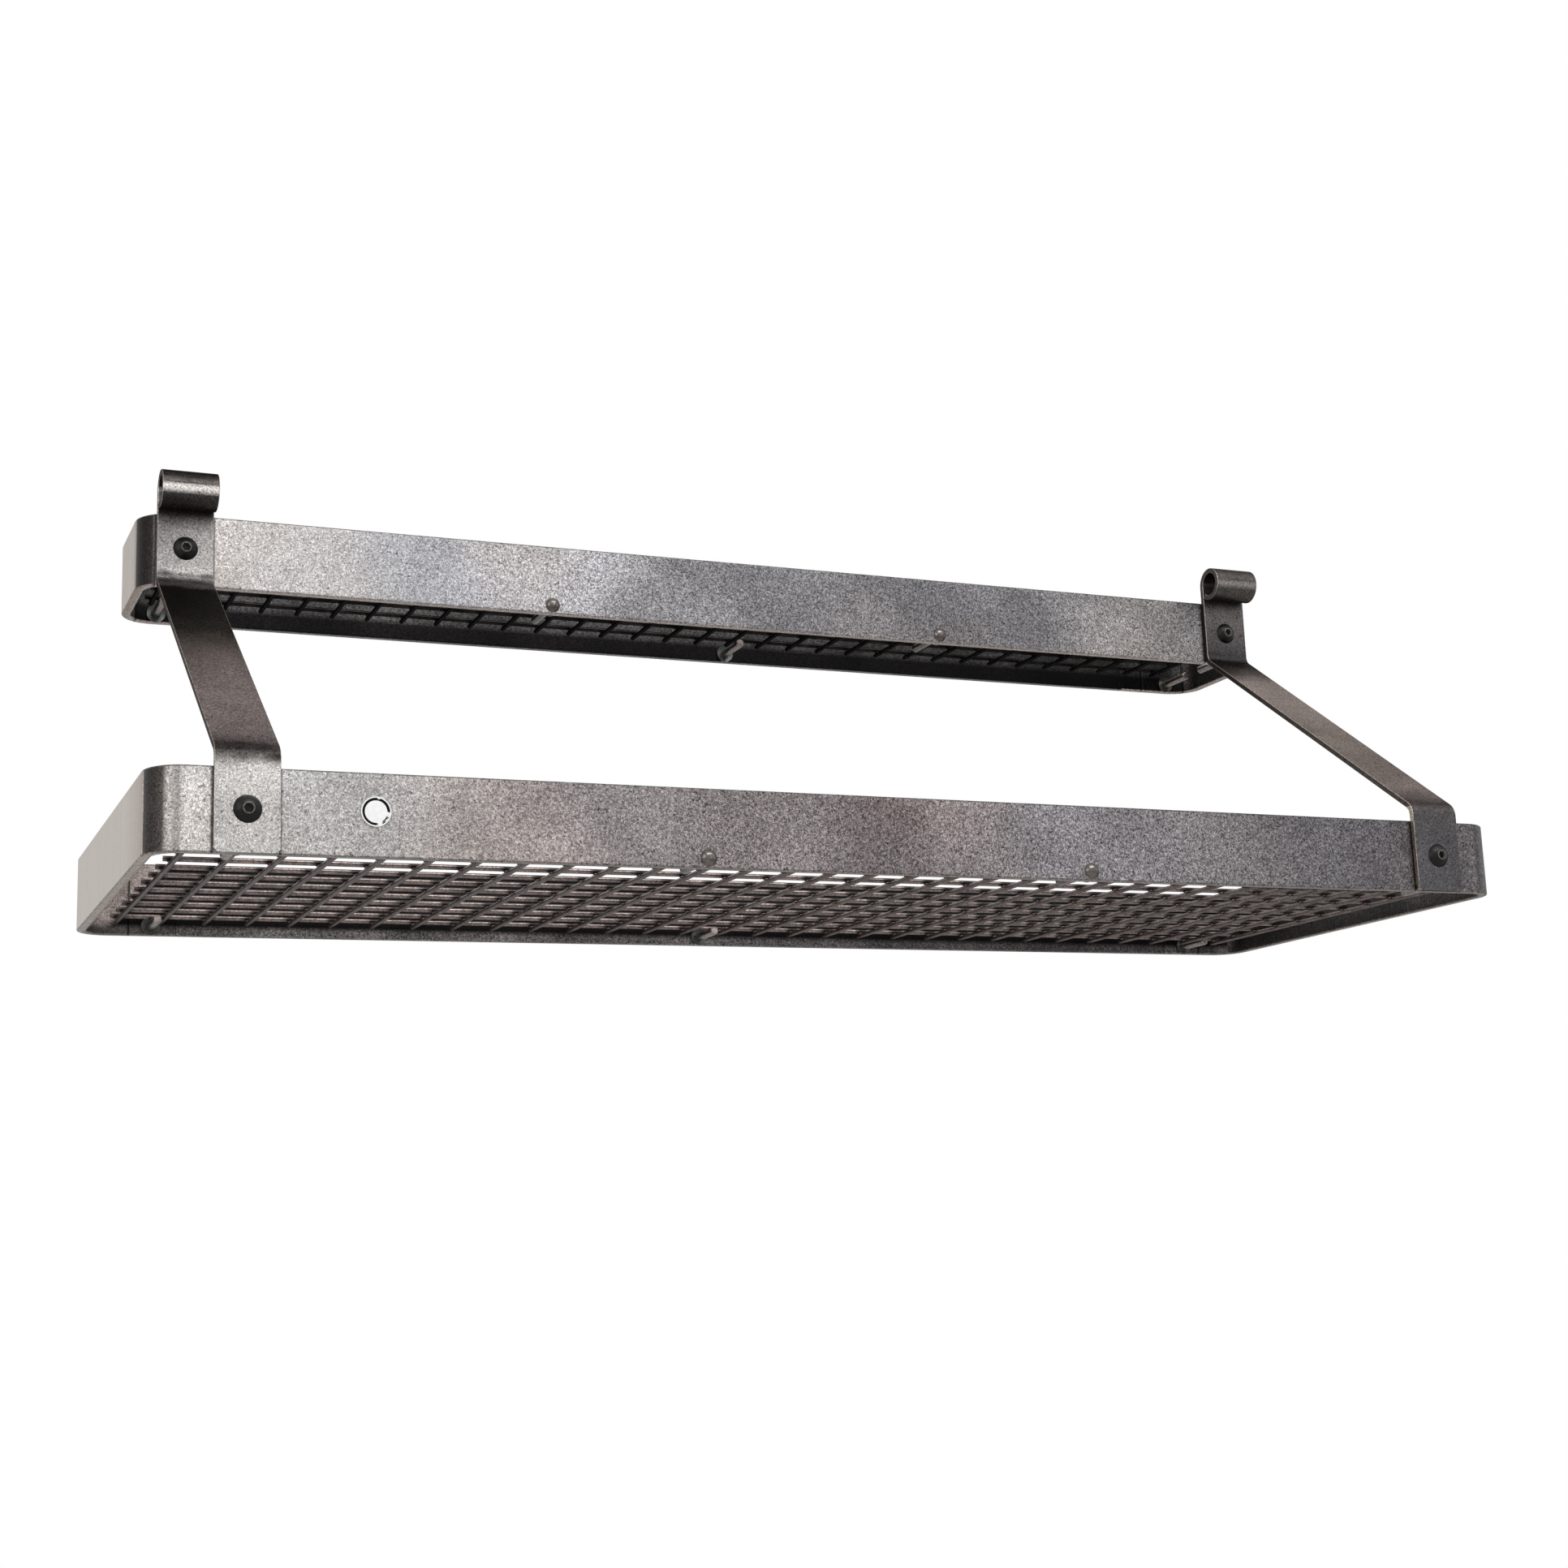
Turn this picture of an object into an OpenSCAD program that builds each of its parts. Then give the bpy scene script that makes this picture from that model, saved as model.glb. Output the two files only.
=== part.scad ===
// Two-tier pot rack that hangs on a wall. Two trays of upright flat bar are joined by two bent straps,
// and each tray carries a loose welded wire grid on support screws.
// Origin: wall face, middle of the lower rear bar. +X right along the wall, +Z up, the rack reaches to -Y.

/* [Trays] */
// Length of the lower tray along the wall
lower_length = 955; // [760:5:1200]
// Depth of the lower tray, from the wall to its front face
lower_depth = 350; // [280:5:450]
// How much further in each end of the upper tray lies
upper_setback = 25.5; // [10:0.5:60]
// Depth of the upper tray, from the wall to its front face
upper_depth = 106.5; // [100:0.5:180]
// Rise from the lower tray to the upper tray
tier_rise = 227.8; // [180:0.2:300]

/* [Flat bar] */
// Height of the bar on edge
bar_width = 50.8; // [44:0.1:64]
// Thickness of the bar
bar_thick = 6.35; // [5:0.05:8]
// Rounding of the bar's long edges
bar_edge = 1.2; // [0.5:0.1:2]
// Outer radius of the trays' bent corners
corner_radius = 23; // [16:0.5:32]
// Distance from a tray's end to the weld in its rear bar
seam_inset = 69.5; // [56:0.5:90]
// Width of the weld between a return and the rear bar
weld_width = 1.6; // [1:0.1:3]

/* [Wall holes] */
// Distance between the two wall holes of the upper rear bar
wall_hole_spacing = 406.4; // [300:0.4:560]
// Height of the wall holes above the middle of that bar
wall_hole_rise = 10; // [9:0.5:14]
// Diameter of a wall hole
wall_hole_d = 8; // [6:0.5:12]

/* [Straps] */
// Width of a strap
strap_width = 38.1; // [30:0.1:44]
// Thickness of a strap
strap_thick = 4; // [3:0.1:5]
// Distance from an end of the upper tray to the middle of the strap
strap_inset = 30.5; // [28:0.5:40]
// Corner radius of a strap's lower end
strap_corner = 3.5; // [2:0.5:6]
// Inner radius of a strap's two bends
strap_bend_radius = 8; // [5:0.5:12]
// Straight length of a strap above the lower rail
strap_lower_clear = 4; // [2:0.5:12]
// Height of the upper bend's end above the foot of the upper rail
strap_upper_clear = 6.5; // [3:0.5:12]
// Bore of the rolled eye
eye_bore_d = 18.4; // [14:0.2:24]
// Height of the eye's centre above the upper rail
eye_rise = 13; // [12.5:0.5:22]
// Gap between the rolled end and the strap
eye_end_gap = 0.3; // [0.2:0.1:1]

/* [Strap screws] */
// Thread diameter of a strap screw
screw_d = 9.525; // [8:0.005:10.5]
// Diameter of a button head
button_d = 16.7; // [15:0.1:18]
// Height of a button head
button_h = 5; // [4:0.1:5.6]
// Width across the flats of the socket
socket_af = 5.56; // [4:0.01:6.4]
// Depth of the socket
socket_depth = 3.2; // [2:0.1:3.6]
// Outer diameter of a lock washer
lock_d = 15; // [14.4:0.1:18]
// Thickness of a lock washer
lock_thick = 2.4; // [1.6:0.1:3]
// Width of the split in a lock washer
lock_split = 1.6; // [1:0.1:2.4]
// Width across the flats of a strap nut
nut_af = 14.29; // [13:0.01:16]
// Height of a strap nut
nut_h = 8.3; // [6:0.1:9]
// Length of thread that stands out of a nut
thread_past_nut = 1; // [0.5:0.1:2]

/* [Support screws] */
// Diameter of a support screw
support_d = 6.35; // [5:0.05:8]
// Height of the support screws above a rail's foot
support_rise = 6.5; // [5.5:0.1:9]
// Length of a front support screw behind the front face
front_support_length = 44.5; // [34:0.5:60]
// Length of a rear support screw in front of the wall
rear_support_length = 41; // [38:0.5:60]
// Diameter of a dome head
dome_d = 11; // [9:0.1:12]
// Height of a dome head
dome_h = 3.7; // [2.5:0.1:4.2]
// Diameter of a flush head
flush_d = 11.4; // [10:0.1:12]
// Depth of a flush head
flush_h = 3; // [2:0.1:3.6]
// Outer diameter of a retaining washer
retainer_d = 13.2; // [12:0.1:15]
// Thickness of a retaining washer
retainer_thick = 1.1; // [0.8:0.1:1.6]
// Height of a retaining washer's rim off the bar, as the ring is dished
retainer_dish = 0.5; // [0.3:0.1:0.8]
// Dome-head screws of the lower tray, distance from the middle
lower_dome_x = 137; // [80:1:220]
// Dome-head screws of the upper tray, distance from the middle
upper_dome_x = 158; // [80:1:220]
// Middle rear support of the lower tray, place along the wall
lower_mid_x = -13; // [-60:1:60]
// Middle rear support of the upper tray, place along the wall
upper_mid_x = 16; // [-60:1:60]
// End supports of the lower tray, distance outside the strap's middle
lower_end_shift = 0; // [0:0.5:6]
// End supports of the upper tray, distance outside the strap's middle
upper_end_shift = 4.5; // [0:0.5:6]

/* [Wire grids] */
// Diameter of the grid wire
wire_d = 3.4; // [2.4:0.1:4]
// Distance between the wires of the lower grid
lower_pitch = 30; // [20:1:40]
// Distance between the wires of the upper grid
upper_pitch = 26; // [20:1:30]
// Length of wire past the last crossing
wire_overhang = 4.5; // [3:0.5:7]
// Least room that a grid leaves at a tray's end
grid_end_gap = 6; // [4:0.5:12]
// Play of a grid between the strap screws and the rear washers
grid_play = 11; // [8:0.5:13]

/* [Badge] */
// Distance from the left end of the lower tray to the badge
badge_inset = 131.2; // [100:0.2:200]
// Height of the badge above the middle of the rail
badge_rise = 1.9; // [-6:0.1:6]
// Diameter of the badge
badge_d = 18; // [12:0.5:26]
// Thickness of the badge
badge_thick = 1.2; // [0.8:0.1:2]
// Width of the badge's raised rim
badge_rim = 1.5; // [1:0.1:2.5]
// Depth of the face inside the rim
badge_recess = 0.4; // [0.2:0.1:0.6]

/* [Hidden] */

// Round surfaces
$fn = 64;
// Straight steps in each quarter turn of a rolled edge
edge_steps = 4;
// Straight steps in each bend of a strap
bend_steps = 12;
// Overrun of every cut
cut_over = 1;
// Clearance around a screw in its hole
hole_clear = 0.2;
// Clearance around a thread in its nut or washer
thread_clear = 0.1;
// Gap under a resting grid
rest_gap = 0.25;
// Least gap between a support screw and the cross wires beside it
wire_gap = 1;
// Gap between a grid and the nearest screw or washer
grid_clear = 0.5;
// Chamfer at the tip of a screw
tip_chamfer = 0.8;
// Least length of a support screw past the wire that it carries
support_past_wire = 8;
// Least gap between the tips of two support screws that face each other
tip_gap = 2;
// Where each grid lies in its play: 0 is against the left end or the wall side, 1 the other
lower_lie_shares = [0.5, 0.325];
upper_lie_shares = [0.07, 0.97];

upper_length = lower_length - 2 * upper_setback;
lower_foot = -bar_width / 2;
upper_foot = lower_foot + tier_rise;
strap_x = upper_length / 2 - strap_inset;
eye_radius = eye_bore_d / 2 + strap_thick;
// Room that the washer, the nut and the screw's tip take behind a front rail
nut_reach = lock_thick + nut_h + thread_past_nut;
retainer_reach = retainer_thick + retainer_dish;
// Cut length of a grid leaves this much room in a tray
grid_room = nut_reach + retainer_reach + 2 * grid_clear + grid_play;
// The long wires lie on the support screws and the cross wires hang below them
long_wire_rise = support_rise + support_d / 2 + rest_gap + wire_d / 2;
cross_wire_rise = long_wire_rise - wire_d;

// Number of wires, at one pitch, that a panel cut for this inside size has
function wire_count(inside, pitch) = floor((inside - grid_room - 2 * wire_overhang) / pitch) + 1;

// Half of the space that the wires take up between the first and the last
function wire_span(inside, pitch) = (wire_count(inside, pitch) - 1) * pitch;

// First wire along the wall
function first_x(length, pitch, share) =
    let (inside = length - 2 * bar_thick,
         span = wire_span(inside, pitch),
         play = inside - span - 2 * wire_overhang - 2 * grid_end_gap)
    -inside / 2 + grid_end_gap + wire_overhang + share * play;

// Wire nearest the wall
function rear_y(depth, pitch, share) =
    let (inside = depth - 2 * bar_thick,
         span = wire_span(inside, pitch),
         play = inside - span - 2 * wire_overhang - nut_reach - retainer_reach - 2 * grid_clear)
    -bar_thick - retainer_reach - grid_clear - wire_overhang - share * play;

// The wanted place for a support, moved just enough to stand clear of the cross wires beside it
function between_wires(want, first, pitch, count) =
    let (cell = floor((want - first) / pitch),
         below = first + cell * pitch,
         keep = (wire_d + support_d) / 2 + wire_gap)
    cell < 0 ? min(want, first - keep)
    : cell >= count - 1 ? max(want, first + (count - 1) * pitch + keep)
    : min(max(want, below + keep), below + pitch - keep);

lower_columns = wire_count(lower_length - 2 * bar_thick, lower_pitch);
lower_rows = wire_count(lower_depth - 2 * bar_thick, lower_pitch);
lower_first_x = first_x(lower_length, lower_pitch, lower_lie_shares[0]);
lower_rear_y = rear_y(lower_depth, lower_pitch, lower_lie_shares[1]);
lower_front_y = lower_rear_y - (lower_rows - 1) * lower_pitch;
upper_columns = wire_count(upper_length - 2 * bar_thick, upper_pitch);
upper_rows = wire_count(upper_depth - 2 * bar_thick, upper_pitch);
upper_first_x = first_x(upper_length, upper_pitch, upper_lie_shares[0]);
upper_rear_y = rear_y(upper_depth, upper_pitch, upper_lie_shares[1]);
upper_front_y = upper_rear_y - (upper_rows - 1) * upper_pitch;

function lower_place(want) = between_wires(want, lower_first_x, lower_pitch, lower_columns);
function upper_place(want) = between_wires(want, upper_first_x, upper_pitch, upper_columns);
lower_end_x = strap_x + lower_end_shift;
upper_end_x = strap_x + upper_end_shift;
lower_dome_places = [lower_place(-lower_dome_x), lower_place(lower_dome_x)];
upper_dome_places = [upper_place(-upper_dome_x), upper_place(upper_dome_x)];
lower_covered_places = [lower_place(-lower_end_x), lower_place(lower_end_x)];
upper_covered_places = [upper_place(-upper_end_x), upper_place(upper_end_x)];
lower_rear_places = [lower_place(-lower_end_x), lower_place(lower_mid_x), lower_place(lower_end_x)];
upper_rear_places = [upper_place(-upper_end_x), upper_place(upper_mid_x), upper_place(upper_end_x)];

// A rear screw is as long as named, or longer where its wire lies further in
function rear_reach(rear_y) = max(rear_support_length, support_past_wire - rear_y);

// A front screw is the same, and ends short of the rear screw that faces it across the tray
function front_reach(depth, front_y, rear_y) =
    max(depth + front_y + support_past_wire,
        min(front_support_length, depth - rear_reach(rear_y) - tip_gap));

lower_rear_reach = rear_reach(lower_rear_y);
upper_rear_reach = rear_reach(upper_rear_y);
lower_front_reach = front_reach(lower_depth, lower_front_y, lower_rear_y);
upper_front_reach = front_reach(upper_depth, upper_front_y, upper_rear_y);

// The strap leans back between its bends by this angle from upright
strap_rise = tier_rise + strap_upper_clear - bar_width - strap_lower_clear;
strap_back = lower_depth - upper_depth;
bend_sum = 2 * strap_bend_radius + strap_thick;
strap_slope = sqrt(pow(strap_rise, 2) + pow(strap_back - bend_sum, 2) - pow(bend_sum, 2));
strap_lean = atan2(strap_back - bend_sum, strap_rise) + atan2(bend_sum, strap_slope);
strap_shoulder = lower_foot + bar_width + strap_lower_clear;
strap_neck = upper_foot + strap_upper_clear;
eye_height = upper_foot + bar_width + eye_rise;
curl_angle = 360 - acos((eye_radius - strap_thick - eye_end_gap) / eye_radius);

// Points along an arc, from one direction to another
function arc(centre, radius, from, to, steps) =
    [for (step = [0:steps])
        let (turn = from + (to - from) * step / steps)
        [centre[0] + radius * cos(turn), centre[1] + radius * sin(turn)]];

// Section of the flat bar with its rolled edges: thickness along x, width along y
module bar_section() {
    far = bar_thick - bar_edge;
    high = bar_width - bar_edge;
    polygon(concat(
        arc([bar_edge, bar_edge], bar_edge, 180, 270, edge_steps),
        arc([far, bar_edge], bar_edge, 270, 360, edge_steps),
        arc([far, high], bar_edge, 0, 90, edge_steps),
        arc([bar_edge, high], bar_edge, 90, 180, edge_steps)));
}

// A straight length of bar along +X, its outer face at y = 0, and what follows it
module bar_run(run) {
    rotate([90, 0, 90]) linear_extrude(height = run) bar_section();
    translate([run, 0, 0]) children();
}

// A square bend towards +Y, and what follows it
module bar_corner() {
    translate([0, corner_radius, 0]) rotate([0, 0, -90])
        rotate_extrude(angle = 90) translate([corner_radius, 0]) mirror([1, 0]) bar_section();
    translate([corner_radius, corner_radius, 0]) rotate([0, 0, 90]) children();
}

// A round hole through a bar, along the wall-to-front direction
module cross_hole(x, y, z, d, depth) {
    translate([x, y - cut_over, z]) rotate([-90, 0, 0]) cylinder(d = d, h = depth + 2 * cut_over);
}

// A hole for a flush head, wide end at the face it is sunk into
module flush_hole(x, face, z, inward) {
    translate([x, face, z]) rotate([-90 * inward, 0, 0]) {
        translate([0, 0, -cut_over]) cylinder(d = support_d + 2 * hole_clear, h = bar_thick + 2 * cut_over);
        cylinder(d1 = flush_d + 2 * hole_clear, d2 = support_d + 2 * hole_clear, h = flush_h);
    }
}

// Right half of a hoop: half the front rail, the end and the rear return
module half_hoop(length, depth) {
    translate([0, -depth, 0])
        bar_run(length / 2 - corner_radius)
        bar_corner()
        bar_run(depth - 2 * corner_radius)
        bar_corner()
        bar_run(seam_inset - corner_radius);
}

// Holes for the rear supports, their heads sunk into the wall side
module rear_holes(foot, rears) {
    for (x = rears) flush_hole(x, 0, foot + support_rise, -1);
}

// Front rail, ends and rear returns in one bent bar, drilled for the straps and the supports
module hoop(length, depth, foot, domes, covered, rears) {
    difference() {
        translate([0, 0, foot]) {
            half_hoop(length, depth);
            mirror([1, 0, 0]) half_hoop(length, depth);
        }
        for (side = [-1, 1])
            cross_hole(side * strap_x, -depth, foot + bar_width / 2, screw_d + 2 * hole_clear, bar_thick);
        for (x = domes) cross_hole(x, -depth, foot + support_rise, support_d + 2 * hole_clear, bar_thick);
        for (x = covered) flush_hole(x, -depth, foot + support_rise, 1);
        rear_holes(foot, rears);
    }
}

// Straight bar between the returns, drilled for the rear supports
module rear_bar(length, foot, rears) {
    half = length / 2 - seam_inset - weld_width;
    difference() {
        translate([half, 0, foot]) rotate([0, 0, 180]) bar_run(2 * half);
        rear_holes(foot, rears);
    }
}

// Butt welds, dressed flush, between the returns and the rear bar
module frame_welds(length, foot, rears) {
    difference() {
        for (side = [0, 1]) mirror([side, 0, 0])
            translate([length / 2 - seam_inset, 0, foot]) rotate([0, 0, 180]) bar_run(weld_width);
        rear_holes(foot, rears);
    }
}

// Side view of a strap up to its eye: up the lower rail, back at a slope and up the upper rail
module strap_outline() {
    tight = strap_bend_radius;
    wide = strap_bend_radius + strap_thick;
    lower_centre = [-lower_depth + tight, strap_shoulder];
    upper_centre = [-upper_depth - wide, strap_neck];
    polygon(concat(
        [[-lower_depth, lower_foot]],
        arc(lower_centre, tight, 180, 180 - strap_lean, bend_steps),
        arc(upper_centre, wide, -strap_lean, 0, bend_steps),
        [[-upper_depth, eye_height], [-upper_depth - strap_thick, eye_height]],
        arc(upper_centre, tight, 0, -strap_lean, bend_steps),
        arc(lower_centre, wide, 180 - strap_lean, 180, bend_steps),
        [[-lower_depth - strap_thick, lower_foot]]));
}

// The strap's top end, rolled forward and down until it nearly meets the strap again
module rolled_eye() {
    translate([-upper_depth - eye_radius, eye_height, 0])
        rotate_extrude(angle = curl_angle) translate([eye_radius - strap_thick, 0])
            square([strap_thick, strap_width]);
}

// Cutter that rounds a strap's lower corner
module corner_cutter() {
    linear_extrude(height = strap_thick + 2 * cut_over)
        polygon(concat(
            [[-cut_over, -cut_over], [strap_corner, -cut_over]],
            arc([strap_corner, strap_corner], strap_corner, 270, 180, edge_steps),
            [[-cut_over, strap_corner]]));
}

// Bent strap with its eye, drilled for its two screws
module strap(x) {
    difference() {
        translate([x - strap_width / 2, 0, 0]) rotate([90, 0, 90]) {
            linear_extrude(height = strap_width) strap_outline();
            rolled_eye();
        }
        cross_hole(x, -lower_depth - strap_thick, 0, screw_d + 2 * hole_clear, strap_thick);
        cross_hole(x, -upper_depth - strap_thick, tier_rise, screw_d + 2 * hole_clear, strap_thick);
        for (side = [0, 1])
            translate([x, -lower_depth + cut_over, lower_foot]) mirror([side, 0, 0])
                translate([-strap_width / 2, 0, 0]) rotate([90, 0, 0]) corner_cutter();
    }
}

// Puts a piece at a point of a front face, its axis running in from that face
module from_front(x, y, z) {
    translate([x, y, z]) rotate([-90, 0, 0]) children();
}

// Puts a piece at a point of the wall face, its axis running out from the wall
module from_wall(x, z) {
    translate([x, 0, z]) rotate([90, 0, 0]) children();
}

// Cap of a sphere that stands on z = 0 towards -Z
module dome(d, h) {
    radius = (pow(h, 2) + pow(d / 2, 2)) / (2 * h);
    difference() {
        translate([0, 0, radius - h]) sphere(r = radius);
        translate([-radius, -radius, 0]) cube(2 * radius);
    }
}

// Shank along +Z with a chamfered tip
module shank(d, length) {
    cylinder(d = d, h = length - tip_chamfer);
    translate([0, 0, length - tip_chamfer]) cylinder(d1 = d, d2 = d - 2 * tip_chamfer, h = tip_chamfer);
}

// Button head with a hex socket, and its shank through strap, rail, washer and nut
module strap_screw() {
    difference() {
        union() {
            dome(button_d, button_h);
            shank(screw_d, strap_thick + bar_thick + nut_reach);
        }
        translate([0, 0, -button_h - cut_over])
            cylinder(d = socket_af / cos(30), h = socket_depth + cut_over, $fn = 6);
    }
}

// Split ring under a strap nut
module lock_washer() {
    difference() {
        cylinder(d = lock_d, h = lock_thick);
        translate([0, 0, -cut_over]) cylinder(d = screw_d + 2 * thread_clear, h = lock_thick + 2 * cut_over);
        translate([0, -lock_split / 2, -cut_over]) cube([lock_d, lock_split, lock_thick + 2 * cut_over]);
    }
}

// Hex nut with its corners turned down at both ends
module strap_nut() {
    corner_d = nut_af / cos(30);
    turned = (corner_d - nut_af) / 2;
    difference() {
        intersection() {
            cylinder(d = corner_d, h = nut_h, $fn = 6);
            rotate_extrude()
                polygon([[0, 0], [nut_af / 2, 0], [corner_d / 2 + cut_over, turned + cut_over],
                    [corner_d / 2 + cut_over, nut_h - turned - cut_over], [nut_af / 2, nut_h], [0, nut_h]]);
        }
        translate([0, 0, -cut_over]) cylinder(d = screw_d + 2 * thread_clear, h = nut_h + 2 * cut_over);
    }
}

module dome_support(reach) {
    dome(dome_d, dome_h);
    shank(support_d, reach);
}

module flush_support(reach) {
    cylinder(d1 = flush_d, d2 = support_d, h = flush_h);
    shank(support_d, reach);
}

// Dished ring pressed onto a support screw, against the inner face of the bar
module retainer() {
    bore = support_d / 2 + thread_clear;
    translate([0, 0, bar_thick]) rotate_extrude() polygon([
        [bore, 0],
        [retainer_d / 2, retainer_dish],
        [retainer_d / 2, retainer_reach],
        [bore, retainer_thick]
    ]);
}

// Washers on all the supports of a tray
module retainers(depth, foot, fronts, rears) {
    for (x = fronts) from_front(x, -depth, foot + support_rise) retainer();
    for (x = rears) from_wall(x, foot + support_rise) retainer();
}

// Wires along the wall, one behind the other
module long_wires(first, columns, rear, rows, pitch, z) {
    for (row = [0:rows - 1])
        translate([first - wire_overhang, rear - row * pitch, z]) rotate([0, 90, 0])
            cylinder(d = wire_d, h = (columns - 1) * pitch + 2 * wire_overhang);
}

// Wires from front to rear, side by side under the long wires
module cross_wires(first, columns, rear, rows, pitch, z) {
    for (column = [0:columns - 1])
        translate([first + column * pitch, rear + wire_overhang, z]) rotate([90, 0, 0])
            cylinder(d = wire_d, h = (rows - 1) * pitch + 2 * wire_overhang);
}

// Places a strap's screw, washer or nut: the side is -1 or 1, the offset is measured in from the strap
module at_strap(side, depth, z, offset) {
    from_front(side * strap_x, -depth - strap_thick + offset, z) children();
}

module lower_hoop() {
    color("darkgray") hoop(lower_length, lower_depth, lower_foot, lower_dome_places, lower_covered_places,
        lower_rear_places);
}

module lower_rear_bar() {
    color("darkgray") rear_bar(lower_length, lower_foot, lower_rear_places);
}

module lower_frame_welds() {
    color("gray") frame_welds(lower_length, lower_foot, lower_rear_places);
}

module upper_hoop() {
    color("darkgray") hoop(upper_length, upper_depth, upper_foot, upper_dome_places, upper_covered_places,
        upper_rear_places);
}

module upper_rear_bar() {
    color("darkgray") difference() {
        rear_bar(upper_length, upper_foot, upper_rear_places);
        for (x = [-wall_hole_spacing / 2, wall_hole_spacing / 2])
            cross_hole(x, -bar_thick, tier_rise + wall_hole_rise, wall_hole_d, bar_thick);
    }
}

module upper_frame_welds() {
    color("gray") frame_welds(upper_length, upper_foot, upper_rear_places);
}

module left_strap() {
    color("dimgray") strap(-strap_x);
}

module right_strap() {
    color("dimgray") strap(strap_x);
}

module lower_left_strap_screw() {
    color("black") at_strap(-1, lower_depth, 0, 0) strap_screw();
}

module lower_right_strap_screw() {
    color("black") at_strap(1, lower_depth, 0, 0) strap_screw();
}

module upper_left_strap_screw() {
    color("black") at_strap(-1, upper_depth, tier_rise, 0) strap_screw();
}

module upper_right_strap_screw() {
    color("black") at_strap(1, upper_depth, tier_rise, 0) strap_screw();
}

module lower_left_lock_washer() {
    color("silver") at_strap(-1, lower_depth, 0, strap_thick + bar_thick) lock_washer();
}

module lower_right_lock_washer() {
    color("silver") at_strap(1, lower_depth, 0, strap_thick + bar_thick) lock_washer();
}

module upper_left_lock_washer() {
    color("silver") at_strap(-1, upper_depth, tier_rise, strap_thick + bar_thick) lock_washer();
}

module upper_right_lock_washer() {
    color("silver") at_strap(1, upper_depth, tier_rise, strap_thick + bar_thick) lock_washer();
}

module lower_left_strap_nut() {
    color("silver") at_strap(-1, lower_depth, 0, strap_thick + bar_thick + lock_thick) strap_nut();
}

module lower_right_strap_nut() {
    color("silver") at_strap(1, lower_depth, 0, strap_thick + bar_thick + lock_thick) strap_nut();
}

module upper_left_strap_nut() {
    color("silver") at_strap(-1, upper_depth, tier_rise, strap_thick + bar_thick + lock_thick) strap_nut();
}

module upper_right_strap_nut() {
    color("silver") at_strap(1, upper_depth, tier_rise, strap_thick + bar_thick + lock_thick) strap_nut();
}

module lower_dome_supports() {
    color("gainsboro") for (x = lower_dome_places)
        from_front(x, -lower_depth, lower_foot + support_rise) dome_support(lower_front_reach);
}

module upper_dome_supports() {
    color("gainsboro") for (x = upper_dome_places)
        from_front(x, -upper_depth, upper_foot + support_rise) dome_support(upper_front_reach);
}

module lower_covered_supports() {
    color("gainsboro") for (x = lower_covered_places)
        from_front(x, -lower_depth, lower_foot + support_rise) flush_support(lower_front_reach);
}

module upper_covered_supports() {
    color("gainsboro") for (x = upper_covered_places)
        from_front(x, -upper_depth, upper_foot + support_rise) flush_support(upper_front_reach);
}

module lower_rear_supports() {
    color("gainsboro") for (x = lower_rear_places)
        from_wall(x, lower_foot + support_rise) flush_support(lower_rear_reach);
}

module upper_rear_supports() {
    color("gainsboro") for (x = upper_rear_places)
        from_wall(x, upper_foot + support_rise) flush_support(upper_rear_reach);
}

module lower_retaining_washers() {
    color("darkseagreen")
        retainers(lower_depth, lower_foot, concat(lower_dome_places, lower_covered_places), lower_rear_places);
}

module upper_retaining_washers() {
    color("darkseagreen")
        retainers(upper_depth, upper_foot, concat(upper_dome_places, upper_covered_places), upper_rear_places);
}

module lower_grid_long_wires() {
    color("dimgray") long_wires(lower_first_x, lower_columns, lower_rear_y, lower_rows, lower_pitch,
        lower_foot + long_wire_rise);
}

module lower_grid_cross_wires() {
    color("dimgray") cross_wires(lower_first_x, lower_columns, lower_rear_y, lower_rows, lower_pitch,
        lower_foot + cross_wire_rise);
}

module upper_grid_long_wires() {
    color("dimgray") long_wires(upper_first_x, upper_columns, upper_rear_y, upper_rows, upper_pitch,
        upper_foot + long_wire_rise);
}

module upper_grid_cross_wires() {
    color("dimgray") cross_wires(upper_first_x, upper_columns, upper_rear_y, upper_rows, upper_pitch,
        upper_foot + cross_wire_rise);
}

// Small round plate with a raised rim and a bare face
module badge() {
    color("silver") from_front(-lower_length / 2 + badge_inset, -lower_depth - badge_thick, badge_rise)
        difference() {
            cylinder(d = badge_d, h = badge_thick);
            translate([0, 0, -cut_over]) cylinder(d = badge_d - 2 * badge_rim, h = badge_recess + cut_over);
        }
}

lower_hoop();
lower_rear_bar();
lower_frame_welds();
upper_hoop();
upper_rear_bar();
upper_frame_welds();
left_strap();
right_strap();
lower_left_strap_screw();
lower_right_strap_screw();
upper_left_strap_screw();
upper_right_strap_screw();
lower_left_lock_washer();
lower_right_lock_washer();
upper_left_lock_washer();
upper_right_lock_washer();
lower_left_strap_nut();
lower_right_strap_nut();
upper_left_strap_nut();
upper_right_strap_nut();
lower_dome_supports();
upper_dome_supports();
lower_covered_supports();
upper_covered_supports();
lower_rear_supports();
upper_rear_supports();
lower_retaining_washers();
upper_retaining_washers();
lower_grid_long_wires();
lower_grid_cross_wires();
upper_grid_long_wires();
upper_grid_cross_wires();
badge();
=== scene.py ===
"""Two-tier wall pot rack: finishes, small details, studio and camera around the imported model."""
import math

import bpy
from mathutils import Matrix, Vector


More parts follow.
